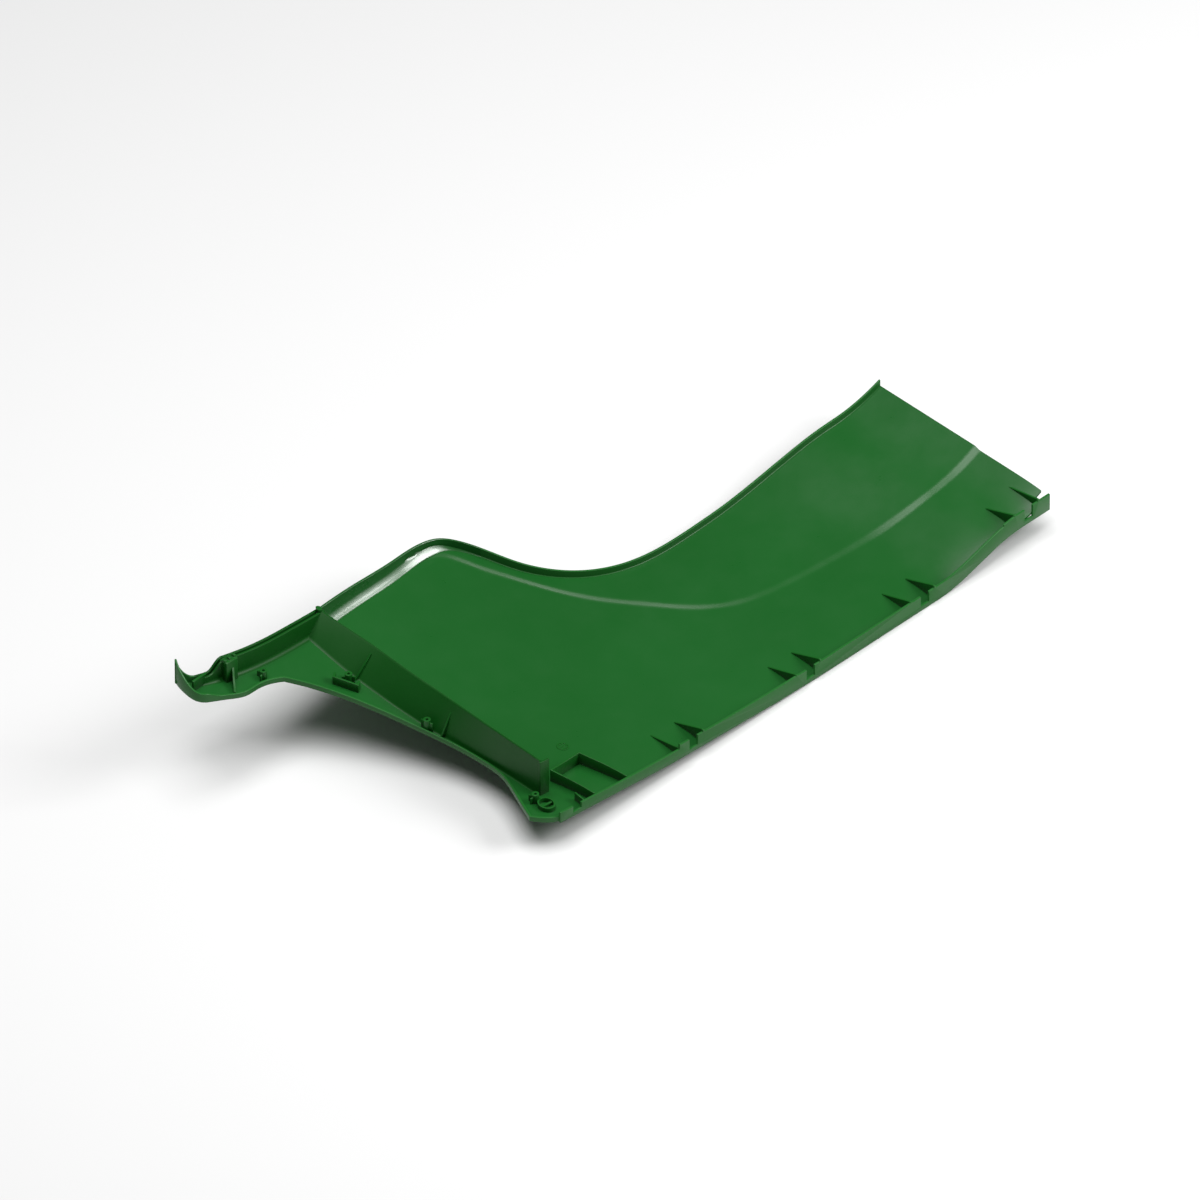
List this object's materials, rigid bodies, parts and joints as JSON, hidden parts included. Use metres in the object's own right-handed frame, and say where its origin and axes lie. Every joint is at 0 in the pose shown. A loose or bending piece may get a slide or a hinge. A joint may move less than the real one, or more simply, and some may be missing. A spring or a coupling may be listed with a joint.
{
  "type": "moulded side panel",
  "caption": "Dished plastic machine side panel with a wavy rim, a cross rib, an arm over a lamp opening, screw bosses and a notched joint flange.",
  "frame": {"origin": "under the middle of the panel's bounding box, on the ground", "axes": "+X along the joint flange to the plain end, +Y from the flange to the rim, +Z from the outer face to the inner face"},
  "size_m": [0.971, 0.4136, 0.1552],
  "materials": {
    "panel_skin": "glossy moulded",
    "panel_walls": "glossy moulded",
    "panel_fittings": "glossy moulded"
  },
  "bodies": {
    "root": {"arm_divider_wall": "panel_fittings", "arm_floor": "panel_skin", "arm_lower_lip": "panel_walls", "arm_rim_channel": "panel_walls", "corner_cup": "panel_fittings", "corner_lobe_lip": "panel_walls", "corner_return_wall": "panel_walls", "cross_rib": "panel_walls", "end_flare": "panel_skin", "flange_gusset_1": "panel_fittings", "flange_gusset_2": "panel_fittings", "flange_gusset_3": "panel_fittings", "flange_gusset_4": "panel_fittings", "flange_gusset_5": "panel_fittings", "flange_gusset_6": "panel_fittings", "flange_gusset_7": "panel_fittings", "flange_gusset_8": "panel_fittings", "horn_tip": "panel_walls", "horn_web": "panel_fittings", "lamp_clip": "panel_fittings", "lamp_opening_lip": "panel_walls", "latch_tower": "panel_fittings", "lower_flange": "panel_walls", "moulded_mark": "panel_fittings", "notch_rib": "panel_fittings", "peak_skin": "panel_skin", "pocket_frame": "panel_fittings", "rib_stiffener_lower": "panel_fittings", "rib_stiffener_upper": "panel_fittings", "rim_fillet": "panel_walls", "rim_knob": "panel_fittings", "rim_wall": "panel_walls", "screw_boss_arm": "panel_fittings", "screw_boss_corner": "panel_fittings", "screw_boss_lamp": "panel_fittings", "screw_boss_rib": "panel_fittings", "shoulder_skin": "panel_skin", "side_skin": "panel_skin", "style_ridge": "panel_walls"}
  },
  "joints": []
}
